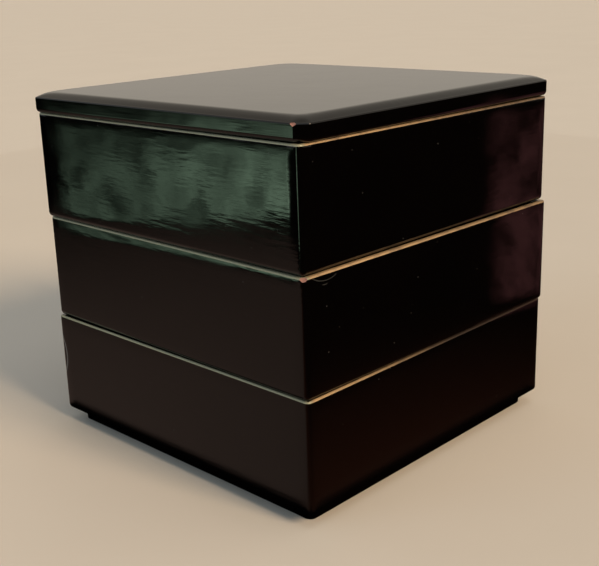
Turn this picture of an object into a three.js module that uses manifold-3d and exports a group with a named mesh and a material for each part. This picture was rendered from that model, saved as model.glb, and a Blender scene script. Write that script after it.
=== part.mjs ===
// A square box in black lacquer: a lid and three open tiers that nest by a recessed foot.
// Millimetres, +Z up. The origin is under the middle of the whole box, at the height of its underside.
import * as THREE from 'three';
import { mergeVertices } from 'three/addons/utils/BufferGeometryUtils.js';
import Module from 'manifold-3d';

// Driving dimensions
const TIER_WIDTH = 197;
const TIER_PITCH = 58;
const WALL = 4.5;
const FOOT_HEIGHT = 7;
const LID_WIDTH = 201;
const LID_SIDE_HEIGHT = 8.5;

// Clearance between a piece and the one that it rests on
const REST_GAP = 0.3;

// Form of a tier
const FOOT_INSET = 6.8;
const FOOT_CORNER = 4;
const FOOT_EDGE = 0.8;
const TIER_CORNER = 3;
const LOWER_EDGE = 2.6;
const RIM_EDGE = 0.9;
const INNER_CORNER = 5;
const FLOOR_RISE = 1.5;
const FLOOR_COVE = 5;

// Form of the lid: its corners are cut straight, and its top is a shallow dome with a soft shoulder all round
const LID_CORNER_CUT = 5.3;
const LID_LOWER_EDGE = 2.6;
const LID_UPPER_EDGE = 0.6;
const LIP_HEIGHT = 5;
const LIP_WIDTH = 6;
const LID_CEILING = 3.5;
const SHOULDER_WIDTH = 7.5;
const SHOULDER_RISE = 2.4;
const DOME_RISE = 0.9;
const CROWN_STEPS = [1.5, 3, 4.5, 6, 8.1, 20, 45, 76];
const CROWN_CORNER_GROWTH = 0.5;
const CROWN_CORNER_ROUNDNESS = 0.8;

// How the pieces have been set down on each other, a little out of line
const PLACES = {
  lower_tier: { x: 0, y: 0, turn: 0 },
  middle_tier: { x: 1.1, y: -0.2, turn: -0.45 },
  upper_tier: { x: 0, y: -0.9, turn: -0.05 },
  lid: { x: -1.0, y: 0, turn: 0.55 },
};

// Worn chips: a shallow scallop out of a corner. The direction points out of the corner.
const RIM_CHIP = { radius: 3.4, bite: 1.7, direction: new THREE.Vector3(1, -1, 1) };
const LID_CHIP = { radius: 2.6, bite: 1.1, direction: new THREE.Vector3(0.4, -1, 0.9) };

// Smoothness
const CORNER_STEPS = 5;
const EDGE_STEPS = 4;
const UPPER_EDGE_STEPS = 2;
const CHIP_DETAIL = 1;

// Points closer than this are one point in a solid
const MERGE_DISTANCE = 1e-4;

const LACQUER = { color: 0x0b0807, roughness: 0.12, metalness: 0 };

const QUARTER_TURN = Math.PI / 2;
const wasm = await Module();
wasm.setup();

// One level of a square piece seen from above. Roundness 0 cuts the corner straight, and 1 rounds it.
function planOutline({ half, corner, roundness }) {
  const points = [];
  const middle = new THREE.Vector2();
  for (let quarter = 0; quarter < 4; quarter += 1) {
    const start = new THREE.Vector2(half, half - corner);
    const end = new THREE.Vector2(half - corner, half);
    const tip = new THREE.Vector2(half, half);
    const bend = start.clone().lerp(end, 0.5).lerp(tip, roundness);
    const curve = new THREE.QuadraticBezierCurve(start, bend, end);
    for (const point of curve.getPoints(CORNER_STEPS)) {
      points.push(point.rotateAround(middle, quarter * QUARTER_TURN));
    }
  }
  return points;
}

// A closed skin through a run of levels, from the middle of the first one to a middle at the last height.
function skin(levels, lastZ) {
  const positions = [0, 0, levels[0].z];
  const indices = [];
  const count = 4 * (CORNER_STEPS + 1);
  for (const level of levels) {
    for (const point of planOutline(level)) {
      positions.push(point.x, point.y, level.z);
    }
  }
  positions.push(0, 0, lastZ);
  const lastCentre = 1 + levels.length * count;
  for (let step = 0; step < count; step += 1) {
    const next = (step + 1) % count;
    indices.push(0, 1 + next, 1 + step);
    for (let ring = 0; ring + 1 < levels.length; ring += 1) {
      const here = 1 + ring * count;
      const above = here + count;
      indices.push(here + step, here + next, above + step);
      indices.push(here + next, above + next, above + step);
    }
    const last = lastCentre - count;
    indices.push(lastCentre, last + step, last + next);
  }
  const geometry = new THREE.BufferGeometry();
  geometry.setAttribute('position', new THREE.Float32BufferAttribute(positions, 3));
  geometry.setIndex(indices);
  return geometry;
}

// A quarter-round between two levels, as pairs of how far in and how far up it is.
function quarterRound(radius, steps) {
  const pairs = [];
  for (let step = 0; step <= steps; step += 1) {
    const angle = (QUARTER_TURN * step) / steps;
    pairs.push({ inward: radius * (1 - Math.sin(angle)), up: radius * (1 - Math.cos(angle)) });
  }
  return pairs;
}

// A tier, with z = 0 at the underside of its walls. The foot hangs below that.
function tierGeometry() {
  const outer = TIER_WIDTH / 2;
  const height = TIER_PITCH - REST_GAP;
  const footHalf = outer - FOOT_INSET;
  const innerHalf = outer - WALL;
  const foot = { corner: FOOT_CORNER, roundness: 1 };
  const body = { corner: TIER_CORNER, roundness: 1 };
  const inside = { corner: INNER_CORNER, roundness: 1 };
  const levels = [
    { z: -FOOT_HEIGHT, half: footHalf - FOOT_EDGE, ...foot },
    { z: FOOT_EDGE - FOOT_HEIGHT, half: footHalf, ...foot },
    { z: 0, half: footHalf, ...foot },
  ];
  for (const { inward, up } of quarterRound(LOWER_EDGE, EDGE_STEPS)) {
    levels.push({ z: up, half: outer - inward, ...body });
  }
  levels.push({ z: height - RIM_EDGE, half: outer, ...body });
  levels.push({ z: height, half: outer - RIM_EDGE, ...body });
  levels.push({ z: height, half: innerHalf + RIM_EDGE, ...inside });
  levels.push({ z: height - RIM_EDGE, half: innerHalf, ...inside });
  for (const { inward, up } of quarterRound(FLOOR_COVE, EDGE_STEPS).reverse()) {
    levels.push({ z: FLOOR_RISE + up, half: innerHalf - inward, ...inside });
  }
  return skin(levels, FLOOR_RISE);
}

// Height of the lid's top above its edge, at a distance in from the edge.
function crownHeight(inward) {
  const shoulder = SHOULDER_RISE * Math.sin(QUARTER_TURN * Math.min(inward / SHOULDER_WIDTH, 1));
  const dome = DOME_RISE * (1 - (1 - (2 * inward) / LID_WIDTH) ** 2);
  return shoulder + dome;
}

// The lid, with z = 0 at its underside. The lip hangs below that, inside the top tier.
function lidGeometry() {
  const outer = LID_WIDTH / 2;
  const lipHalf = TIER_WIDTH / 2 - FOOT_INSET;
  const lip = { corner: FOOT_CORNER, roundness: 1 };
  const body = { corner: LID_CORNER_CUT, roundness: 0 };
  const levels = [
    { z: LID_CEILING, half: lipHalf - LIP_WIDTH, ...lip },
    { z: -LIP_HEIGHT, half: lipHalf - LIP_WIDTH, ...lip },
    { z: -LIP_HEIGHT, half: lipHalf - FOOT_EDGE, ...lip },
    { z: FOOT_EDGE - LIP_HEIGHT, half: lipHalf, ...lip },
    { z: 0, half: lipHalf, ...lip },
  ];
  for (const { inward, up } of quarterRound(LID_LOWER_EDGE, EDGE_STEPS)) {
    levels.push({ z: up, half: outer - inward, ...body });
  }
  for (const { inward, up } of quarterRound(LID_UPPER_EDGE, UPPER_EDGE_STEPS).reverse()) {
    levels.push({ z: LID_SIDE_HEIGHT - up, half: outer - inward, ...body });
  }
  for (const inward of CROWN_STEPS) {
    levels.push({
      z: LID_SIDE_HEIGHT + crownHeight(inward - LID_UPPER_EDGE),
      half: outer - inward,
      corner: LID_CORNER_CUT + (outer - LID_CORNER_CUT) * CROWN_CORNER_GROWTH * (inward / outer),
      roundness: Math.min(inward / SHOULDER_WIDTH, 1) * CROWN_CORNER_ROUNDNESS,
    });
  }
  return skin(levels, LID_SIDE_HEIGHT + crownHeight(outer));
}

function toSolid(geometry) {
  const shape = geometry.clone();
  shape.deleteAttribute('normal');
  shape.deleteAttribute('uv');
  const merged = mergeVertices(shape, MERGE_DISTANCE);
  return new wasm.Manifold(new wasm.Mesh({
    numProp: 3,
    vertProperties: new Float32Array(merged.attributes.position.array),
    triVerts: new Uint32Array(merged.index.array),
  }));
}

// Takes a scallop out of a solid corner.
function withChip(geometry, cornerPoint, { radius, bite, direction }) {
  const scallop = new THREE.IcosahedronGeometry(radius, CHIP_DETAIL);
  const centre = cornerPoint.clone().addScaledVector(direction.clone().normalize(), radius - bite);
  scallop.translate(centre.x, centre.y, centre.z);
  const worn = toSolid(geometry).subtract(toSolid(scallop)).getMesh();
  const result = new THREE.BufferGeometry();
  result.setAttribute('position', new THREE.Float32BufferAttribute(worn.vertProperties, 3));
  result.setIndex(Array.from(worn.triVerts));
  return result;
}

function piece(name, geometry, undersideZ) {
  const mesh = new THREE.Mesh(geometry, new THREE.MeshStandardMaterial(LACQUER));
  const place = PLACES[name];
  mesh.name = name;
  mesh.position.set(place.x, place.y, undersideZ);
  mesh.rotation.z = THREE.MathUtils.degToRad(place.turn);
  return mesh;
}

const tierHalf = TIER_WIDTH / 2;
const rimHeight = TIER_PITCH - REST_GAP;
const cornerTip = tierHalf - TIER_CORNER / 4;
const rimChipPoint = new THREE.Vector3(cornerTip, -cornerTip, rimHeight);
const lidChipPoint = new THREE.Vector3(LID_WIDTH / 2 - LID_CORNER_CUT, -LID_WIDTH / 2, LID_SIDE_HEIGHT);
const wornTier = withChip(tierGeometry(), rimChipPoint, RIM_CHIP);
const wornLid = withChip(lidGeometry(), lidChipPoint, LID_CHIP);

const box = new THREE.Group();
box.add(piece('lower_tier', tierGeometry(), FOOT_HEIGHT));
box.add(piece('middle_tier', wornTier, FOOT_HEIGHT + TIER_PITCH));
box.add(piece('upper_tier', tierGeometry(), FOOT_HEIGHT + 2 * TIER_PITCH));
box.add(piece('lid', wornLid, FOOT_HEIGHT + 3 * TIER_PITCH));

// Put the middle of the whole outline over the origin
const middle = new THREE.Box3().setFromObject(box).getCenter(new THREE.Vector3());
box.position.set(-middle.x, -middle.y, 0);

export default box;
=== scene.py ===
"""A square stacking box in polished black lacquer, with gold rims, on a plain pale stage.

Each Blender piece is modelled over the solid of the same name and takes its place.
"""
import math

import bpy
from mathutils import Matrix, Vector


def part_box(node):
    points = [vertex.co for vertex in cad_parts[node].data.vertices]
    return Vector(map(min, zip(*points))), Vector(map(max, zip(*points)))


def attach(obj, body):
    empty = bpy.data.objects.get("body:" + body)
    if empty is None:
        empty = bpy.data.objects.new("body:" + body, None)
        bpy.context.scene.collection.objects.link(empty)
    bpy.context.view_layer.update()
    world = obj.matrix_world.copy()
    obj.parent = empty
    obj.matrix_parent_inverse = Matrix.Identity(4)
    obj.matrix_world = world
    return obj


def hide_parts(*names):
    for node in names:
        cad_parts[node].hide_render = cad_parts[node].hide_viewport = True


bl_info = {
    "name": "Tiered Lacquer Box",
    "version": (1, 0, 0),
    "blender": (4, 5, 0),
    "location": "View3D > Sidebar > Lacquer Box",
    "description": "Adds a square stacking box in black lacquer with gold rims, and a plain stage for it",
    "category": "Add Mesh",
}

MM = 0.001
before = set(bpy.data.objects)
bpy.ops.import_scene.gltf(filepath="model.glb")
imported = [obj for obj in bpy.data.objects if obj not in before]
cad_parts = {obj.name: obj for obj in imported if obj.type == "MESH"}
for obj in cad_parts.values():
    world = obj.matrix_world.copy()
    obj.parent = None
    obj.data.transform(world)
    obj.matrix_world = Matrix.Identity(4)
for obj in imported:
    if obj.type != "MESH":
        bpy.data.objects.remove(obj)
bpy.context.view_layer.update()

TIERS = ("lower_tier", "middle_tier", "upper_tier")
WORN_TIER = "middle_tier"

# The gold line on each rim: its width from the outer side, then the share by which it darkens to the bare rim
# at its far end, and where along Y that darkening starts and is full. The darkening is painted shade,
# standing in for less light along the far walls.
GOLD_LINES = {
    "lower_tier": (1.2 * MM, 0.98, -95 * MM, 20 * MM),
    "middle_tier": (2.4 * MM, 0.36, -75 * MM, 60 * MM),
    "upper_tier": (1.8 * MM, 0.70, -75 * MM, 60 * MM),
}

# Where along Y the painted cool light on the gold of the -Y walls starts to give way, and where it has ended:
# a grey that stands in for the dimmer, cooler light on that side
PAINTED_COOL_LIGHT = (-97 * MM, -94 * MM)

# Worn chips: the direction out of the corner, the radius of the scallop, and how deep it bites. A scallop is
# uneven by a share of its radius.
RIM_CHIP = (Vector((1, -1, 1)), 3.4 * MM, 1.7 * MM)
LID_CHIP = (Vector((0.4, -1, 0.9)), 2.6 * MM, 1.1 * MM)
CHIP_UNEVENNESS = 0.06

# Scratches, as arcs, in millimetres: centre, radius, half the width, and where each runs along Y. Then how
# pale it is. Two are on the middle tier's +X wall near its worn corner, one is on the lower tier's -Y wall.
SCRATCHES = (
    ((100.0, -85.0, 135.6), 16.5, 0.3, -95.0, -77.5, 0.16),
    ((100.0, -86.0, 123.3), 6.0, 0.3, -88.5, -83.5, 0.16),
    ((-112.6, -98.5, 41.0), 20.0, 0.9, -102.0, -96.0, 0.6),
)

# The small turns, in degrees, with which the pieces have been set down on each other
TURNS = {"lower_tier": 0.0, "middle_tier": -0.45, "upper_tier": -0.05, "lid": 0.55}

# How many strips the rounded edges are cut into
CORNER_CUTS = 8
RIM_CUTS = 5
INNER_RIM_CUTS = 4
FOOT_EDGE_CUTS = 3
LID_EDGE_CUTS = 4

# Where lines are cut into a wall for the thinning of its coats, as shares of the width over which they thin
# out, and how strongly the coats thin out towards the wall's lower edge
THINNING_CUTS = (0.18, 0.42, 0.7, 1.0)
FOOT_THINNING = 0.5

# Faces that meet at a wider angle than this keep a sharp edge between them
SHARP_ANGLE = math.radians(40)

# The lamps: heading, height and softness in degrees, then strength and colour
SUNS = {
    "top_light": (20, 76, 45, 0.35, "fffaf4"),
    "right_light": (2, 33, 20, 2.6, "ffdcb4"),
    "left_light": (-115, 24, 30, 0.25, "b8dcf4"),
}

# The panels that only the gloss shows: width, height and height of the soft top, heading in degrees, distance
# and sideways place, height above the floor, then colour and strength at either side
COOL = "c2e9c5"
ROSE = "c47c7c"
PANELS = {
    "left_panel": ((0.270, 0.158, 0.115), 221, (0.60, 0.085), 0.0, COOL, (1.7, 0.55)),
    "right_panel": ((0.110, 0.150, 0.020), 57, (0.2434, -0.0113), 0.022, ROSE, (0.25, 0.25)),
    "back_panel": ((0.300, 0.165, 0.066), 135, (0.60, 0.0), 0.0, COOL, (0.60, 0.60)),
    "front_panel": ((0.160, 0.165, 0.066), 280, (0.60, 0.0), 0.0, COOL, (1.80, 1.80)),
}

# How far a panel's sides take to fade
SIDE_FADE = 12 * MM

# The floor, the card just above it that only the gloss shows, and the two tones of that card
FLOOR_WIDTH = 160.0
CARD_WIDTH = 2.0
CARD_HEIGHT = 0.2 * MM
CARD_TONES = (("dcbaa8", 0.33), ("c07250", 0.25))

# The room: the sine of the height above the horizon, and how bright the room is there
ROOM_LIGHT = (
    (0.0, 0.42), (0.05, 0.45), (0.12, 0.55), (0.22, 0.65),
    (0.30, 0.56), (0.42, 0.36), (0.80, 0.34), (1.0, 0.20),
)

tier_low, tier_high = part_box("lower_tier")


def linear(code):
    """Turn an sRGB hex colour into the linear colour that Blender's sockets hold."""
    channels = [int(code[place:place + 2], 16) / 255 for place in (0, 2, 4)]
    return tuple(c / 12.92 if c <= 0.04045 else ((c + 0.055) / 1.055) ** 2.4 for c in channels)


def size(name, description, default):
    """A length that a user would change."""
    return bpy.props.FloatProperty(
        name=name, description=description, default=default, min=0.0, precision=5, unit="LENGTH"
    )


def count(name, description, default, least=1):
    """A number of parts that a user would change."""
    return bpy.props.IntProperty(name=name, description=description, default=default, min=least)


def angle(name, description, degrees):
    """An angle that a user would change, given in degrees."""
    return bpy.props.FloatProperty(
        name=name, description=description, default=math.radians(degrees), subtype="ANGLE"
    )


def colour(name, description, code):
    """A colour that a user would change, given as sRGB hex."""
    return bpy.props.FloatVectorProperty(
        name=name, description=description, default=linear(code), min=0.0, max=1.0, size=3, subtype="COLOR"
    )


class TierSettings(bpy.types.PropertyGroup):
    """Sizes of one open tier; all three are alike."""

    width: size("Width", "Outer width of a tier, the same both ways", tier_high.x - tier_low.x)
    wall: size("Wall", "Thickness of the walls at the rim", 4.5 * MM)
    foot_height: size("Foot height", "How far the nesting foot stands below the walls", 7.0 * MM)
    foot_inset: size("Foot inset", "How far in from the walls the foot is", 6.8 * MM)
    outer_edge: size("Outer edge radius", "Radius of the upright corners and the lower edge", 2.6 * MM)
    rim_edge: size("Rim edge radius", "Radius of the rim's rounded edges", 0.9 * MM)
    cove: size("Cove radius", "Radius of the corners inside, upright and along the floor", 5.0 * MM)
    foot_corner: size("Foot corner radius", "Radius of the foot's upright corners", 4.0 * MM)
    foot_edge: size("Foot edge radius", "Radius of the foot's lower edge", 0.8 * MM)
    floor_rise: size("Floor rise", "Height of the floor inside above the walls' lower edge", 1.5 * MM)
    pillow: size("Pillow", "How far the coats of lacquer thin out towards a wall's edges", 0.22 * MM)
    pillow_width: size("Pillow width", "How far from an edge the coats begin to thin out", 5.6 * MM)


class LidSettings(bpy.types.PropertyGroup):
    """Sizes of the lid."""

    width: size("Width", "Outer width of the lid, the same both ways", 201.0 * MM)
    side: size("Side height", "Height of the lid's flat side", 8.5 * MM)
    cells: count("Grid squares", "Squares along one side of the lid's top", 76, least=24)
    edge_cells: count("Fine squares", "How many of the grid squares next to an edge are fine ones", 10)
    edge_cell: size("Fine square", "Width of a fine grid square", 1.06 * MM)
    corner_cells: count("Corner cut", "How many fine squares the straight corner cut takes off", 5)
    lower_edge: size("Lower edge radius", "Radius of the rounded lower edge", 2.6 * MM)
    upper_edge: size("Upper edge radius", "Radius of the tight upper edge", 0.7 * MM)
    lip_height: size("Lip height", "How far the lip reaches down into the top tier", 5.0 * MM)
    lip_width: size("Lip width", "Thickness of the lip", 6.0 * MM)
    ceiling: size("Ceiling", "Height of the hollow inside the lip above the lid's lower edge", 3.5 * MM)
    shoulder: size("Shoulder width", "Width of the shoulder where the top curves down to its edge", 7.5 * MM)
    shoulder_rise: size("Shoulder rise", "How far the top rises over the shoulder", 2.4 * MM)
    dome_rise: size("Dome rise", "How much further the top rises to its middle", 0.9 * MM)


class FinishSettings(bpy.types.PropertyGroup):
    """Colours of the lacquer, the gold with its painted cool light and painted shade, and the worn spots, and
    the sizes of the lacquer's patterns.
    """

    lacquer: colour("Lacquer", "Body colour of the black lacquer", "020202")
    lacquer_warm: colour("Lacquer, thin", "The brown that shows where the lacquer is thin", "050303")
    dust: colour("Dust", "Specks of dust and fine scratches on the lacquer", "868a8a")
    gold: colour("Gold", "The gold paint on the rims", "bfa27a")
    gold_dull: colour("Gold, rubbed", "The gold paint where it is rubbed", "8a7660")
    # Painted light: this grey gold stands in for the dimmer, cooler light on the -Y walls.
    gold_painted_cool_light: colour("Gold, tarnished", "The gold paint along the -Y walls, gone grey", "9a9a83")
    # Painted shade: the gold darkens to this colour towards +Y, standing in for less light at the far end.
    gold_painted_shade: colour("Gold, worn off", "The rim where the gold is nearly gone", "2c2320")
    ground: colour("Ground", "The clay ground that a chip lays bare", "b58a80")
    ground_dark: colour("Ground, stained", "The same ground where it is stained", "6b3f34")
    brush_line: size("Brush lines", "Distance between the brush lines", 2.4 * MM)
    brush_depth: size("Brush depth", "Depth of the brush lines", 0.06 * MM)
    brush_patch: size("Brush patches", "Distance between the places where the brush lines show", 40 * MM)
    wave: size("Waves", "Length of the slow waves in the surface", 34 * MM)
    wave_depth: size("Wave depth", "Depth of the slow waves", 0.11 * MM)
    peel: size("Peel", "Distance between the fine bumps of the last coat", 5 * MM)
    peel_depth: size("Peel depth", "Depth of the fine bumps", 0.006 * MM)
    dust_distance: size("Dust distance", "Distance between the specks of dust", 9 * MM)


class StageSettings(bpy.types.PropertyGroup):
    """The floor, the light and the camera."""

    floor: colour("Floor", "Colour of the plain pale floor", "dcd8d0")
    camera_place: bpy.props.FloatVectorProperty(
        name="Camera place", description="Where the camera stands", default=(0.3884, -0.3994, 0.2484),
        size=3, precision=4, subtype="TRANSLATION", unit="LENGTH",
    )
    camera_turn: angle("Camera turn", "Direction of view, from +X towards +Y", 134.11)
    camera_tilt: angle("Camera tilt", "Direction of view above the horizon", -16.14)
    camera_roll: angle("Camera roll", "Turn about the direction of view", -1.77)
    camera_shift: bpy.props.FloatProperty(
        name="Camera shift", description="How far the lens is shifted up, in picture widths", default=-0.025
    )
    focal_pixels: bpy.props.FloatProperty(
        name="Focal length", description="Focal length in pixels of a picture 599 wide", default=1013.9,
        min=1.0
    )


class LacquerBoxSettings(bpy.types.PropertyGroup):
    """Everything that a user would change."""

    tier: bpy.props.PointerProperty(name="Tier", description="Sizes of a tier", type=TierSettings)
    lid: bpy.props.PointerProperty(name="Lid", description="Sizes of the lid", type=LidSettings)
    finish: bpy.props.PointerProperty(
        name="Finish", description="Colours and patterns", type=FinishSettings
    )
    stage: bpy.props.PointerProperty(
        name="Stage", description="Floor, light and camera", type=StageSettings
    )


# Helpers for modelling


def deselect_all():
    """Leave edit mode and select nothing."""
    if bpy.context.mode != "OBJECT":
        bpy.ops.object.mode_set(mode="OBJECT")
    bpy.ops.object.select_all(action="DESELECT")


def make_active(piece):
    """Select one object alone."""
    deselect_all()
    piece.select_set(True)
    bpy.context.view_layer.objects.active = piece


def pick(piece, kind, test):
    """Go to edit mode with only those faces or edges selected that pass a test.

    The test gets a face's middle and normal, or an edge's two ends.
    """
    bpy.ops.object.mode_set(mode="OBJECT")
    mesh = piece.data
    for vertex in mesh.vertices:
        vertex.select = False
    for edge in mesh.edges:
        edge.select = False
    for face in mesh.polygons:
        face.select = False
    places = [vertex.co for vertex in mesh.vertices]
    if kind == "FACE":
        for face in mesh.polygons:
            face.select = test(face.center, face.normal)
    else:
        for edge in mesh.edges:
            edge.select = test(places[edge.vertices[0]], places[edge.vertices[1]])
    if not any(part.select for part in (mesh.polygons if kind == "FACE" else mesh.edges)):
        raise RuntimeError(f"{piece.name} has nothing to select here")
    bpy.context.tool_settings.mesh_select_mode = (False, kind == "EDGE", kind == "FACE")
    bpy.ops.object.mode_set(mode="EDIT")


def near(value, target, slack=0.02 * MM):
    """True if a length is what it should be."""
    return abs(value - target) < slack


def upright_corner(half, low, high):
    """A test for the four upright corner edges of a square between two heights."""
    def test(start, end):
        return (
            near(abs(start.x), half) and near(abs(start.y), half)
            and near(end.x, start.x) and near(end.y, start.y)
            and near(min(start.z, end.z), low) and near(max(start.z, end.z), high)
        )
    return test


def square_edge(half, height):
    """A test for the four edges of a square that is still sharp at its corners."""
    def test(start, end):
        ends = (start, end)
        return all(near(abs(p.x), half) and near(abs(p.y), half) and near(p.z, height) for p in ends)
    return test


def either(*tests):
    """A test that passes where one of these does."""
    return lambda start, end: any(test(start, end) for test in tests)


def rounded_edge(half, corner, height):
    """A test for the edges of a square whose corners have been rounded."""
    def on_outline(place):
        if not near(place.z, height):
            return False
        x = max(abs(place.x) - half + corner, 0.0)
        y = max(abs(place.y) - half + corner, 0.0)
        return near(math.hypot(x, y), corner, 0.03 * MM)
    return lambda start, end: on_outline(start) and on_outline(end)


def round_off(piece, test, radius, segments):
    """Round the edges that pass a test."""
    pick(piece, "EDGE", test)
    bpy.ops.mesh.bevel(
        offset=radius, offset_type="OFFSET", segments=segments, profile=0.5, affect="EDGES",
        clamp_overlap=False,
    )


def facing(height, up):
    """A test for level faces at one height that face up (1) or down (-1)."""
    return lambda centre, normal: near(centre.z, height) and normal.z * up > 0.9


def apply_modifier(piece, kind, **settings):
    """Add a modifier with its settings and apply it at once."""
    make_active(piece)
    modifier = piece.modifiers.new(kind.title(), kind)
    for name, value in settings.items():
        setattr(modifier, name, value)
    bpy.ops.object.modifier_apply(modifier=modifier.name)


def chip(piece, place, direction, radius, bite, ground):
    """Break a shallow scallop out of a corner, and show the ground in it."""
    deselect_all()
    centre = place + direction.normalized() * (radius - bite)
    bpy.ops.mesh.primitive_ico_sphere_add(subdivisions=3, radius=radius, location=centre)
    scallop = bpy.context.active_object
    for vertex in scallop.data.vertices:
        x, y, z = (along / MM for along in vertex.co)
        vertex.co *= 1 + CHIP_UNEVENNESS * math.sin(x * 3.1) * math.cos(z * 2.7 + y * 1.9)
    scallop.data.materials.append(ground)
    bpy.ops.object.transform_apply(location=True, rotation=True, scale=True)
    apply_modifier(
        piece, "BOOLEAN", operation="DIFFERENCE", solver="EXACT", object=scallop, material_mode="TRANSFER"
    )
    bpy.data.objects.remove(scallop)


def set_down(piece, node, underside):
    """Turn a finished piece, put it where its solid is, and let it stand for that solid."""
    low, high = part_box(node)
    make_active(piece)
    piece.location = ((low.x + high.x) / 2, (low.y + high.y) / 2, underside)
    piece.rotation_euler = (0, 0, math.radians(TURNS[node]))
    bpy.ops.object.transform_apply(location=True, rotation=True, scale=True)
    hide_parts(node)
    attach(piece, "root")


def finish_surface(piece):
    """Smooth the rounded edges and keep the wide faces flat."""
    make_active(piece)
    bpy.ops.object.shade_smooth_by_angle(angle=SHARP_ANGLE)
    apply_modifier(piece, "WEIGHTED_NORMAL", keep_sharp=True, weight=80)
    deselect_all()


# Helpers for materials


def add_node(tree, kind, settings=None, links=None):
    """Add a node, set its properties, and set or link its inputs."""
    node = tree.nodes.new(kind)
    for name, value in (settings or {}).items():
        setattr(node, name, value)
    for socket, value in (links or {}).items():
        if isinstance(value, bpy.types.NodeSocket):
            tree.links.new(value, node.inputs[socket])
        else:
            node.inputs[socket].default_value = value
    return node


def new_material(name):
    """An empty node material, with its shader linked to its output."""
    material = bpy.data.materials.new(name)
    material.use_nodes = True
    tree = material.node_tree
    tree.nodes.clear()
    shader = add_node(tree, "ShaderNodeBsdfPrincipled")
    add_node(tree, "ShaderNodeOutputMaterial", links={"Surface": shader.outputs["BSDF"]})
    return material, tree, shader


def with_alpha(rgb):
    """A colour socket's four numbers."""
    return (*rgb, 1.0)


def times(rgb, factor):
    """A colour made brighter or darker."""
    return tuple(channel * factor for channel in rgb)


def noise(tree, place, spacing, detail=2.0, roughness=0.5):
    """A soft random pattern that repeats about once over a real distance."""
    return add_node(
        tree, "ShaderNodeTexNoise", {"noise_dimensions": "3D"},
        {"Vector": place, "Scale": 1 / spacing, "Detail": detail, "Roughness": roughness},
    ).outputs["Fac"]


def step(tree, value, low, high, at_low, at_high):
    """A smooth change from one number to another while a value goes from low to high."""
    return add_node(
        tree, "ShaderNodeMapRange", {"interpolation_type": "SMOOTHSTEP"},
        {"Value": value, "From Min": low, "From Max": high, "To Min": at_low, "To Max": at_high},
    ).outputs["Result"]


def soft_span(tree, value, low, high, low_fade, high_fade):
    """1 between two values, fading to 0 over a width at each end."""
    rise = step(tree, value, low, low + low_fade, 0.0, 1.0)
    fall = step(tree, value, high - high_fade, high, 1.0, 0.0)
    return multiply(tree, rise, fall)


def blend(tree, share, first, second):
    """A mix of two colours."""
    return add_node(
        tree, "ShaderNodeMix", {"data_type": "RGBA"}, {"Factor": share, "A": first, "B": second}
    ).outputs["Result"]


def multiply(tree, first, second):
    """The product of two values."""
    return add_node(tree, "ShaderNodeMath", {"operation": "MULTIPLY"}, {0: first, 1: second}).outputs[0]


def ripple(tree, height, depth, under=None):
    """Fine relief of a real depth, laid over another relief."""
    inputs = {"Strength": 1.0, "Distance": depth, "Height": height}
    if under is not None:
        inputs["Normal"] = under
    return add_node(tree, "ShaderNodeBump", links=inputs).outputs["Normal"]


def scratches(tree, place):
    """Thin arcs scratched into two of the walls: how much of them shows.

    They end below the middle tier's rim.
    """
    parts = add_node(tree, "ShaderNodeSeparateXYZ", links={"Vector": place})
    end_fade = 2 * MM
    total = 0.0
    for centre, radius, half_width, start, end, paleness in SCRATCHES:
        middle = [part * MM for part in centre]
        outward = add_node(tree, "ShaderNodeVectorMath", {"operation": "SUBTRACT"}, {0: place, 1: middle})
        distance = add_node(
            tree, "ShaderNodeVectorMath", {"operation": "LENGTH"}, {0: outward.outputs["Vector"]}
        ).outputs["Value"]
        fade = half_width * MM
        inner = (radius - half_width) * MM
        outer = (radius + half_width) * MM
        across = soft_span(tree, distance, inner, outer, fade, fade)
        along = soft_span(tree, parts.outputs["Y"], start * MM, end * MM, end_fade, end_fade)
        shown = multiply(tree, multiply(tree, across, along), paleness)
        total = add_node(tree, "ShaderNodeMath", {"operation": "ADD"}, {0: total, 1: shown}).outputs[0]
    middle_rim = 121.8 * MM
    below_rim = step(tree, parts.outputs["Z"], middle_rim - 0.8 * MM, middle_rim, 1.0, 0.0)
    return multiply(tree, total, below_rim)


def polished_black_lacquer(finish, name, brushed):
    """Black urushi lacquer, brushed on in coats and polished.

    It reads as a black mirror with slow waves, faint brush lines along the walls, a little dust, and a brown
    tone where the coats are thin. The vector says how much closer the brush lines are in each direction.
    """
    material, tree, shader = new_material(name)
    place = add_node(tree, "ShaderNodeTexCoord").outputs["Object"]
    stretched = add_node(tree, "ShaderNodeMapping", links={"Vector": place, "Scale": brushed})
    lines = noise(tree, stretched.outputs["Vector"], finish.brush_line)
    where_brushed = step(tree, noise(tree, place, finish.brush_patch), 0.42, 0.6, 0.35, 1.0)
    waves = ripple(tree, noise(tree, place, finish.wave, 1.0, 0.4), finish.wave_depth)
    brush = ripple(tree, multiply(tree, lines, where_brushed), finish.brush_depth, waves)
    peel = ripple(tree, noise(tree, place, finish.peel, 1.0, 0.4), finish.peel_depth, brush)
    tree.links.new(peel, shader.inputs["Normal"])
    thin = noise(tree, place, 60 * MM, 3.0, 0.6)
    body = blend(tree, thin, with_alpha(finish.lacquer), with_alpha(finish.lacquer_warm))
    grains = add_node(
        tree, "ShaderNodeTexVoronoi", {"feature": "F1"},
        {"Vector": place, "Scale": 1 / finish.dust_distance, "Randomness": 1.0},
    )
    specks = step(tree, grains.outputs["Distance"], 0.024, 0.046, 0.18, 0.0)
    dusty = blend(tree, specks, body, with_alpha(finish.dust))
    scratched = blend(tree, scratches(tree, place), dusty, with_alpha(finish.dust))
    tree.links.new(scratched, shader.inputs["Base Color"])
    duller = noise(tree, place, 22 * MM, 4.0, 0.6)
    tree.links.new(step(tree, duller, 0.3, 0.75, 0.05, 0.10), shader.inputs["Roughness"])
    shader.inputs["IOR"].default_value = 1.52
    return material


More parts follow.
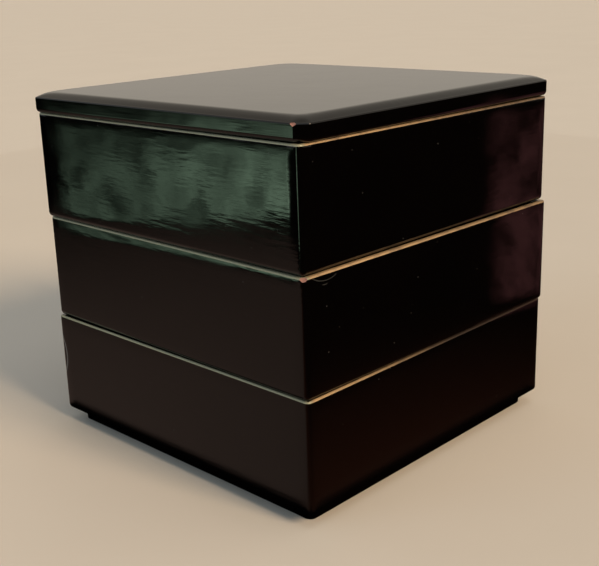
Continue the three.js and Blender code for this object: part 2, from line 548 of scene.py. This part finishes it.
def gold_rim_paint(finish, name, painted_shade_share, start, end):
    """Gold powder laid in lacquer: a soft metal line, rubbed duller in places, with painted cool light along
    the -Y walls: a grey that stands in for the dimmer, cooler light there.

    The line darkens towards the bare rim between two places on Y, until the given share of it is dark:
    painted shade, where less light reaches the far end.
    """
    material, tree, shader = new_material(name)
    place = add_node(tree, "ShaderNodeTexCoord").outputs["Object"]
    parts = add_node(tree, "ShaderNodeSeparateXYZ", links={"Vector": place})
    rubbed = step(tree, noise(tree, place, 9 * MM, 4.0, 0.6), 0.42, 0.7, 0.0, 0.9)
    tone = blend(tree, rubbed, with_alpha(finish.gold), with_alpha(finish.gold_dull))
    # Painted light: the gold on the -Y walls turns grey, standing in for the cooler, dimmer light there.
    painted_cool_light = step(tree, parts.outputs["Y"], *PAINTED_COOL_LIGHT, 1.0, 0.0)
    tone = blend(tree, painted_cool_light, tone, with_alpha(finish.gold_painted_cool_light))
    # Painted shade: the line darkens towards +Y, standing in for less light at its far end.
    darkened = step(tree, parts.outputs["Y"], start, end, 0.0, painted_shade_share)
    tree.links.new(blend(tree, darkened, tone, with_alpha(finish.gold_painted_shade)), shader.inputs["Base Color"])
    powder = noise(tree, place, 0.5 * MM, 2.0, 0.6)
    tree.links.new(ripple(tree, powder, 0.02 * MM), shader.inputs["Normal"])
    shader.inputs["Metallic"].default_value = 0.25
    shader.inputs["Roughness"].default_value = 0.45
    return material


def bare_clay_ground(finish):
    """The clay and lacquer ground under the coats, bare in a chip: matt, pinkish and stained."""
    material, tree, shader = new_material("bare_clay_ground")
    place = add_node(tree, "ShaderNodeTexCoord").outputs["Object"]
    stain = noise(tree, place, 0.9 * MM, 3.0, 0.6)
    tone = blend(tree, stain, with_alpha(finish.ground), with_alpha(finish.ground_dark))
    tree.links.new(tone, shader.inputs["Base Color"])
    tree.links.new(ripple(tree, stain, 0.1 * MM), shader.inputs["Normal"])
    shader.inputs["Roughness"].default_value = 0.7
    return material


def wall_lacquer(finish):
    """The lacquer of the tiers, brushed along their walls."""
    name = "polished_wall_lacquer"
    return bpy.data.materials.get(name) or polished_black_lacquer(finish, name, (0.15, 0.15, 1.0))


def lid_lacquer(finish):
    """The lacquer of the lid, brushed from side to side."""
    return polished_black_lacquer(finish, "polished_lid_lacquer", (0.08, 1.0, 1.0))


def chip_ground(finish):
    """The bare ground of all chips."""
    return bpy.data.materials.get("bare_clay_ground") or bare_clay_ground(finish)


# The pieces


def add_block(name, width, height):
    """A square block that stands on z = 0."""
    deselect_all()
    bpy.ops.mesh.primitive_cube_add(size=1, location=(0, 0, height / 2))
    block = bpy.context.active_object
    block.name = block.data.name = name
    block.scale = (width, width, height)
    bpy.ops.object.transform_apply(location=True, rotation=True, scale=True)
    return block


def push_face(distance):
    """Extrude the selected face straight up or down."""
    bpy.ops.mesh.extrude_region_move(TRANSFORM_OT_translate={"value": (0, 0, distance)})


def thinning(distance, width):
    """How strongly the coats thin out at a distance from an edge: 1 at the edge, 0 beyond the width."""
    return max(0.0, 1.0 - max(distance, 0.0) / width) ** 2


def soften_walls(piece, tier, height):
    """Cut lines near the edges of the walls and draw them in, because the coats thin out there."""
    half = tier.width / 2
    slack = 0.01 * MM
    outermost = half - 0.1 * MM

    def is_wall(centre, normal):
        return abs(normal.z) < 0.1 and max(abs(centre.x), abs(centre.y)) > outermost

    for share in THINNING_CUTS:
        inward = tier.pillow_width * share
        for level in (height - tier.rim_edge - inward, tier.outer_edge + inward):
            pick(piece, "FACE", is_wall)
            bpy.ops.mesh.bisect(plane_co=(0, 0, level), plane_no=(0, 0, 1))
        for side in (-1, 1):
            across = side * (half - tier.outer_edge - inward)
            pick(piece, "FACE", is_wall)
            bpy.ops.mesh.bisect(plane_co=(across, 0, 0), plane_no=(1, 0, 0))
            pick(piece, "FACE", is_wall)
            bpy.ops.mesh.bisect(plane_co=(0, across, 0), plane_no=(0, 1, 0))
    bpy.ops.object.mode_set(mode="OBJECT")
    for vertex in piece.data.vertices:
        place = vertex.co
        if place.z < -slack:
            continue
        rim = thinning(height - tier.rim_edge - place.z, tier.pillow_width)
        foot = FOOT_THINNING * thinning(place.z - tier.outer_edge, tier.pillow_width)
        for axis in (0, 1):
            if abs(place[axis]) < half - tier.outer_edge - slack:
                continue
            beside = half - tier.outer_edge - abs(place[1 - axis])
            corner = thinning(beside, tier.pillow_width)
            share = 1 - (1 - rim) * (1 - foot) * (1 - corner)
            place[axis] -= math.copysign(tier.pillow * share, place[axis])


def gild_rim(piece, tier, height, gold_width):
    """Cut the inner side of the gold line into the rim, and give what is outside it to the gold paint."""
    reach = tier.width / 2 - gold_width

    def is_rim(centre, normal):
        return normal.z > 0.1 and centre.z > height - tier.rim_edge

    for side in (-1, 1):
        pick(piece, "FACE", is_rim)
        bpy.ops.mesh.bisect(plane_co=(side * reach, 0, 0), plane_no=(1, 0, 0))
        pick(piece, "FACE", is_rim)
        bpy.ops.mesh.bisect(plane_co=(0, side * reach, 0), plane_no=(0, 1, 0))
    bpy.ops.object.mode_set(mode="OBJECT")
    for face in piece.data.polygons:
        outward = max(abs(face.center.x), abs(face.center.y))
        if is_rim(face.center, face.normal) and outward > reach:
            face.material_index = 1


def add_tier(node, settings):
    """Model one open tier, with its nesting foot, and set it down in its place."""
    tier = settings.tier
    low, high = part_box(node)
    height = high.z - low.z - tier.foot_height
    half = tier.width / 2
    foot_half = half - tier.foot_inset
    inner_half = half - tier.wall
    piece = add_block(node + "_lacquered", tier.width, height)
    pick(piece, "FACE", facing(height, 1))
    bpy.ops.mesh.inset(thickness=tier.wall, depth=0)
    push_face(tier.floor_rise - height)
    pick(piece, "FACE", facing(0, -1))
    bpy.ops.mesh.inset(thickness=tier.foot_inset, depth=0)
    push_face(-tier.foot_height)
    outside = either(upright_corner(half, 0, height), square_edge(half, 0))
    inside = either(
        upright_corner(inner_half, tier.floor_rise, height), square_edge(inner_half, tier.floor_rise)
    )
    round_off(piece, outside, tier.outer_edge, CORNER_CUTS)
    round_off(piece, inside, tier.cove, CORNER_CUTS)
    round_off(piece, upright_corner(foot_half, -tier.foot_height, 0), tier.foot_corner, CORNER_CUTS)
    round_off(piece, rounded_edge(half, tier.outer_edge, height), tier.rim_edge, RIM_CUTS)
    round_off(piece, rounded_edge(inner_half, tier.cove, height), tier.rim_edge, INNER_RIM_CUTS)
    foot_edge = rounded_edge(foot_half, tier.foot_corner, -tier.foot_height)
    round_off(piece, foot_edge, tier.foot_edge, FOOT_EDGE_CUTS)
    soften_walls(piece, tier, height)
    piece.data.materials.append(wall_lacquer(settings.finish))
    # After the width come the share and the span along Y of the gold's painted shade.
    gold_width, *painted_shade_span = GOLD_LINES[node]
    piece.data.materials.append(gold_rim_paint(settings.finish, node + "_gold_rim_paint", *painted_shade_span))
    gild_rim(piece, tier, height, gold_width)
    if node == WORN_TIER:
        inset = tier.outer_edge / 4
        corner = Vector((half - inset, -half + inset, height))
        chip(piece, corner, *RIM_CHIP, chip_ground(settings.finish))
    finish_surface(piece)
    set_down(piece, node, low.z + tier.foot_height)


def corner_cut(lid):
    """How far from a corner the straight cut starts."""
    return lid.corner_cells * lid.edge_cell


def grid_place(lid, along):
    """Where a line of the lid's even grid goes, so that the squares next to the edges are fine ones."""
    half = lid.width / 2
    number = round((half - abs(along)) / (lid.width / lid.cells))
    if number <= lid.edge_cells:
        inward = number * lid.edge_cell
    else:
        fine = lid.edge_cells * lid.edge_cell
        inward = fine + (half - fine) * (number - lid.edge_cells) / (lid.cells / 2 - lid.edge_cells)
    return math.copysign(half - inward, along)


def crown(lid, x, y):
    """Height of the lid's top above its upper edge. The shoulder turns softly at the corners."""
    reach = lid.width / 2 - lid.upper_edge
    to_cut = (2 * reach - corner_cut(lid) - abs(x) - abs(y)) / math.sqrt(2)
    distances = (reach - abs(x), reach - abs(y), to_cut)
    softness = 3.0
    least = 0.001 * MM
    inward = sum(max(distance, least) ** -softness for distance in distances) ** (-1 / softness)
    shoulder = lid.shoulder_rise * math.sin(math.pi / 2 * min(inward / lid.shoulder, 1.0))
    dome = lid.dome_rise
    for place in (x, y):
        dome *= 1 - min(abs(place) / reach, 1.0) ** 2
    return shoulder + dome


def outline_edges(lid):
    """Tests for the edges round the lid's outline: its upper and its lower one."""
    half = lid.width / 2
    cut = corner_cut(lid)

    def on_outline(place):
        beside = near(max(abs(place.x), abs(place.y)), half)
        across = near(abs(place.x) + abs(place.y), 2 * half - cut)
        return beside or across

    def test_at(height):
        def test(start, end):
            if not (near(start.z, height) and near(end.z, height)):
                return False
            middle = (start + end) / 2
            return on_outline(start) and on_outline(end) and on_outline(middle)
        return test
    return test_at(lid.side), test_at(0)


def hang_lip(piece, lid, tier):
    """Push the lip down out of a slab, hollow it, and round its corners and its lower edge."""
    lip_half = tier.width / 2 - tier.foot_inset
    hollow_half = lip_half - lid.lip_width
    pick(piece, "FACE", facing(0, -1))
    bpy.ops.mesh.inset(thickness=lid.width / 2 - lip_half, depth=0)
    push_face(-lid.lip_height)
    bpy.ops.mesh.inset(thickness=lid.lip_width, depth=0)
    push_face(lid.lip_height + lid.ceiling)
    round_off(piece, upright_corner(lip_half, -lid.lip_height, 0), tier.foot_corner, CORNER_CUTS)
    hollow_corner = upright_corner(hollow_half, -lid.lip_height, lid.ceiling)
    round_off(piece, hollow_corner, tier.foot_corner, CORNER_CUTS)
    lip_edge = rounded_edge(lip_half, tier.foot_corner, -lid.lip_height)
    round_off(piece, lip_edge, tier.foot_edge, FOOT_EDGE_CUTS)


def lay_grid(piece, lid):
    """Cut the slab's top into a grid that is finer next to the edges."""
    pick(piece, "FACE", facing(lid.side, 1))
    bpy.ops.mesh.subdivide(number_cuts=lid.cells - 1)
    bpy.ops.object.mode_set(mode="OBJECT")
    for vertex in piece.data.vertices:
        if near(vertex.co.z, lid.side):
            vertex.co.x = grid_place(lid, vertex.co.x)
            vertex.co.y = grid_place(lid, vertex.co.y)


def cut_corners(piece, lid):
    """Cut the slab's four upright corners off, straight from side to side."""
    half = lid.width / 2
    bpy.ops.object.mode_set(mode="EDIT")
    for x_side in (-1, 1):
        for y_side in (-1, 1):
            bpy.ops.mesh.select_all(action="SELECT")
            bpy.ops.mesh.bisect(
                plane_co=(x_side * half, y_side * (half - corner_cut(lid)), 0),
                plane_no=(x_side, y_side, 0), use_fill=True, clear_outer=True, threshold=0.01 * MM,
            )


def raise_top(piece, lid):
    """Lift the grid into the lid's shoulder and dome."""
    bpy.ops.object.mode_set(mode="OBJECT")
    for vertex in piece.data.vertices:
        if near(vertex.co.z, lid.side):
            vertex.co.z += crown(lid, vertex.co.x, vertex.co.y)


def add_lid(settings):
    """Model the lid and set it down in its place."""
    lid = settings.lid
    half = lid.width / 2
    piece = add_block("lid_lacquered", lid.width, lid.side)
    hang_lip(piece, lid, settings.tier)
    lay_grid(piece, lid)
    cut_corners(piece, lid)
    upper_edge, lower_edge = outline_edges(lid)
    round_off(piece, upper_edge, lid.upper_edge, LID_EDGE_CUTS)
    round_off(piece, lower_edge, lid.lower_edge, CORNER_CUTS)
    raise_top(piece, lid)
    piece.data.materials.append(lid_lacquer(settings.finish))
    corner = Vector((half - corner_cut(lid), -half, lid.side))
    chip(piece, corner, *LID_CHIP, chip_ground(settings.finish))
    finish_surface(piece)
    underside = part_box("lid")[0].z + lid.lip_height
    set_down(piece, "lid", underside)


# The stage


def only_reflected(card):
    """Show a card in reflections alone."""
    card.visible_camera = False
    card.visible_diffuse = False
    card.visible_shadow = False
    card.visible_transmission = False
    card.visible_volume_scatter = False


def add_plane(name, width, depth, location, turn=(0, 0, 0)):
    """A flat rectangle of the stage."""
    deselect_all()
    bpy.ops.mesh.primitive_plane_add(size=1, location=location, rotation=turn)
    plane = bpy.context.active_object
    plane.name = plane.data.name = name
    plane.scale = (width, depth, 1)
    bpy.ops.object.transform_apply(location=False, rotation=False, scale=True)
    return plane


def pale_floor_board(stage):
    """Matt painted board: pale, even, with the faintest mottle."""
    material, tree, shader = new_material("pale_floor_board")
    place = add_node(tree, "ShaderNodeTexCoord").outputs["Object"]
    darker = times(stage.floor, 0.93)
    tone = blend(tree, noise(tree, place, 180 * MM, 4.0, 0.6), with_alpha(stage.floor), with_alpha(darker))
    tree.links.new(tone, shader.inputs["Base Color"])
    shader.inputs["Roughness"].default_value = 0.8
    return material


def glowing_card(name, colours, turn, across, along, mottled=False, shaded=None):
    """A card's own light in metres of its plane: a colour that turns into another over a stretch of X.

    Across X and along Y the light lies between two places and fades over a width at each. A shaded square in
    its middle, given by where its shade starts and ends, gives no light.
    """
    material = bpy.data.materials.new(name)
    material.use_nodes = True
    tree = material.node_tree
    tree.nodes.clear()
    place = add_node(tree, "ShaderNodeTexCoord").outputs["Object"]
    parts = add_node(tree, "ShaderNodeSeparateXYZ", links={"Vector": place})
    beside = soft_span(tree, parts.outputs["X"], *across)
    amount = multiply(tree, beside, soft_span(tree, parts.outputs["Y"], *along))
    turned = step(tree, parts.outputs["X"], *turn, 0.0, 1.0)
    tone = blend(tree, turned, *(with_alpha(rgb) for rgb in colours))
    if mottled:
        tall = add_node(tree, "ShaderNodeMapping", links={"Vector": place, "Scale": (1.0, 0.55, 1.0)})
        cloud = noise(tree, tall.outputs["Vector"], 24 * MM, 4.0, 0.65)
        amount = multiply(tree, amount, step(tree, cloud, 0.34, 0.66, 0.15, 1.9))
    if shaded:
        from_middle = [
            add_node(tree, "ShaderNodeMath", {"operation": "ABSOLUTE"}, {0: parts.outputs[axis]}).outputs[0]
            for axis in ("X", "Y")
        ]
        farther = add_node(
            tree, "ShaderNodeMath", {"operation": "MAXIMUM"}, {0: from_middle[0], 1: from_middle[1]}
        ).outputs[0]
        amount = multiply(tree, amount, step(tree, farther, *shaded, 0.0, 1.0))
    light = add_node(tree, "ShaderNodeEmission", links={"Color": tone, "Strength": amount})
    add_node(tree, "ShaderNodeOutputMaterial", links={"Surface": light.outputs["Emission"]})
    return material


def add_floor(stage):
    """The floor that the camera sees, and the softer image of it that the lacquer reflects."""
    floor = add_plane("floor", FLOOR_WIDTH, FLOOR_WIDTH, (0, 0, 0))
    floor.data.materials.append(pale_floor_board(stage))
    floor.visible_glossy = False
    card = add_plane("near_floor_card", CARD_WIDTH, CARD_WIDTH, (0, 0, CARD_HEIGHT))
    card.data.materials.append(
        glowing_card(
            "near_floor_glow", [times(linear(code), strength) for code, strength in CARD_TONES],
            turn=(0.06, 0.13), across=(-0.75, 0.30, 0.75, 0.24), along=(-0.52, 0.30, 0.08, 0.45),
            shaded=(0.110, 0.120),
        )
    )
    only_reflected(card)


def add_panel(name, shape, heading, place, height_above, rgb, strengths):
    """An upright soft panel that only shows in the gloss and faces the box.

    Its shape is its width, its height and the height of its soft top. Its place is how far it is from the
    middle of the box along its heading, and how far to the left of that.
    """
    width, height, top_fade = shape
    distance, sideways = place
    toward = math.radians(heading)
    forward = Vector((math.cos(toward), math.sin(toward), 0))
    middle = forward * distance + Vector((-forward.y, forward.x, 0)) * sideways
    middle.z = height_above + height / 2
    panel = add_plane(name, width, height, middle, (math.pi / 2, 0, toward - math.pi / 2))
    panel.data.materials.append(
        glowing_card(
            name + "_glow", [times(rgb, strength) for strength in strengths],
            turn=(-width / 4, width / 4), across=(-width / 2, width / 2, SIDE_FADE, SIDE_FADE),
            along=(-height / 2, height / 2, SIDE_FADE, top_fade), mottled=True,
        )
    )
    only_reflected(panel)


def add_sun(name, heading, height, softness, strength, rgb):
    """A far, soft lamp, given by the direction that it shines from, in degrees."""
    deselect_all()
    bpy.ops.object.light_add(type="SUN", location=(0, 0, 2))
    lamp = bpy.context.active_object
    lamp.name = lamp.data.name = name
    lamp.data.angle = math.radians(softness)
    lamp.data.energy = strength
    lamp.data.color = rgb
    lamp.rotation_euler = (math.radians(90 - height), 0, math.radians(heading + 90))


def soft_room_light():
    """A pale room near the horizon, dimmer overhead, and nothing below."""
    world = bpy.data.worlds.new("soft_room_light")
    bpy.context.scene.world = world
    world.use_nodes = True
    tree = world.node_tree
    tree.nodes.clear()
    direction = add_node(tree, "ShaderNodeTexCoord").outputs["Generated"]
    parts = add_node(tree, "ShaderNodeSeparateXYZ", links={"Vector": direction})
    brightness = add_node(tree, "ShaderNodeValToRGB", links={"Fac": parts.outputs["Z"]})
    ramp = brightness.color_ramp
    ramp.interpolation = "B_SPLINE"
    while len(ramp.elements) < len(ROOM_LIGHT):
        ramp.elements.new(0.5)
    for element, (place, value) in zip(ramp.elements, ROOM_LIGHT):
        element.position = place
        element.color = (value, value, value, 1.0)
    above = step(tree, parts.outputs["Z"], -0.03, -0.015, 0.0, 1.0)
    strength = multiply(tree, brightness.outputs["Color"], above)
    cool_side = (0.91, 0.96, 0.97, 1.0)
    warm_side = (1.0, 0.90, 0.76, 1.0)
    tint = blend(tree, step(tree, parts.outputs["Y"], -0.3, 0.3, 0.0, 1.0), cool_side, warm_side)
    background = add_node(tree, "ShaderNodeBackground", links={"Color": tint, "Strength": strength})
    add_node(tree, "ShaderNodeOutputWorld", links={"Surface": background.outputs["Background"]})


def add_camera(stage):
    """The camera at the photograph's angle. The picture is taken to be 599 by 566."""
    picture_width = 599
    sensor = 36.0
    deselect_all()
    bpy.ops.object.camera_add(location=stage.camera_place)
    camera = bpy.context.active_object
    turn = Matrix.Rotation(stage.camera_turn - math.pi / 2, 4, "Z")
    tilt = Matrix.Rotation(stage.camera_tilt + math.pi / 2, 4, "X")
    roll = Matrix.Rotation(stage.camera_roll, 4, "Z")
    camera.rotation_euler = (turn @ tilt @ roll).to_euler()
    camera.data.sensor_width = sensor
    camera.data.lens = stage.focal_pixels * sensor / picture_width
    camera.data.shift_y = stage.camera_shift
    camera.data.clip_start = 0.01
    camera.data.clip_end = 100.0
    bpy.context.scene.camera = camera


# Operators


class LACQUERBOX_OT_add_tiers(bpy.types.Operator):
    """Add the three open tiers"""

    bl_idname = "lacquerbox.add_tiers"
    bl_label = "Add Tiers"

    def execute(self, context):
        for node in TIERS:
            add_tier(node, context.scene.lacquer_box)
        return {"FINISHED"}


class LACQUERBOX_OT_add_lid(bpy.types.Operator):
    """Add the lid with its cut corners and domed top"""

    bl_idname = "lacquerbox.add_lid"
    bl_label = "Add Lid"

    def execute(self, context):
        add_lid(context.scene.lacquer_box)
        return {"FINISHED"}


class LACQUERBOX_OT_add_stage(bpy.types.Operator):
    """Add the floor, the soft light and the camera"""

    bl_idname = "lacquerbox.add_stage"
    bl_label = "Add Stage"

    def execute(self, context):
        stage = context.scene.lacquer_box.stage
        add_floor(stage)
        for name, (*aim, strength, code) in SUNS.items():
            add_sun(name, *aim, strength, linear(code))
        for name, (shape, heading, place, height_above, code, strengths) in PANELS.items():
            add_panel(name, shape, heading, place, height_above, linear(code), strengths)
        soft_room_light()
        add_camera(stage)
        context.scene.view_settings.view_transform = "Standard"
        return {"FINISHED"}


class LACQUERBOX_PT_sidebar(bpy.types.Panel):
    """The box and its stage, in the 3D view's sidebar"""

    bl_label = "Lacquer Box"
    bl_idname = "LACQUERBOX_PT_sidebar"
    bl_space_type = "VIEW_3D"
    bl_region_type = "UI"
    bl_category = "Lacquer Box"

    def draw(self, context):
        layout = self.layout
        settings = context.scene.lacquer_box
        for title, group, operator in (
            ("Tiers", settings.tier, "lacquerbox.add_tiers"),
            ("Lid", settings.lid, "lacquerbox.add_lid"),
            ("Finish", settings.finish, None),
            ("Stage", settings.stage, "lacquerbox.add_stage"),
        ):
            box = layout.box()
            box.label(text=title)
            for name in group.bl_rna.properties.keys():
                if name not in ("rna_type", "name"):
                    box.prop(group, name)
            if operator:
                box.operator(operator)


CLASSES = (
    TierSettings,
    LidSettings,
    FinishSettings,
    StageSettings,
    LacquerBoxSettings,
    LACQUERBOX_OT_add_tiers,
    LACQUERBOX_OT_add_lid,
    LACQUERBOX_OT_add_stage,
    LACQUERBOX_PT_sidebar,
)


def register():
    """Register the classes and the settings."""
    for cls in CLASSES:
        bpy.utils.register_class(cls)
    bpy.types.Scene.lacquer_box = bpy.props.PointerProperty(type=LacquerBoxSettings)


def unregister():
    """Take the settings and the classes away again."""
    del bpy.types.Scene.lacquer_box
    for cls in reversed(CLASSES):
        bpy.utils.unregister_class(cls)


def main():
    """Make every piece and the stage."""
    register()
    bpy.ops.lacquerbox.add_tiers()
    bpy.ops.lacquerbox.add_lid()
    bpy.ops.lacquerbox.add_stage()


if __name__ == "__main__":
    main()
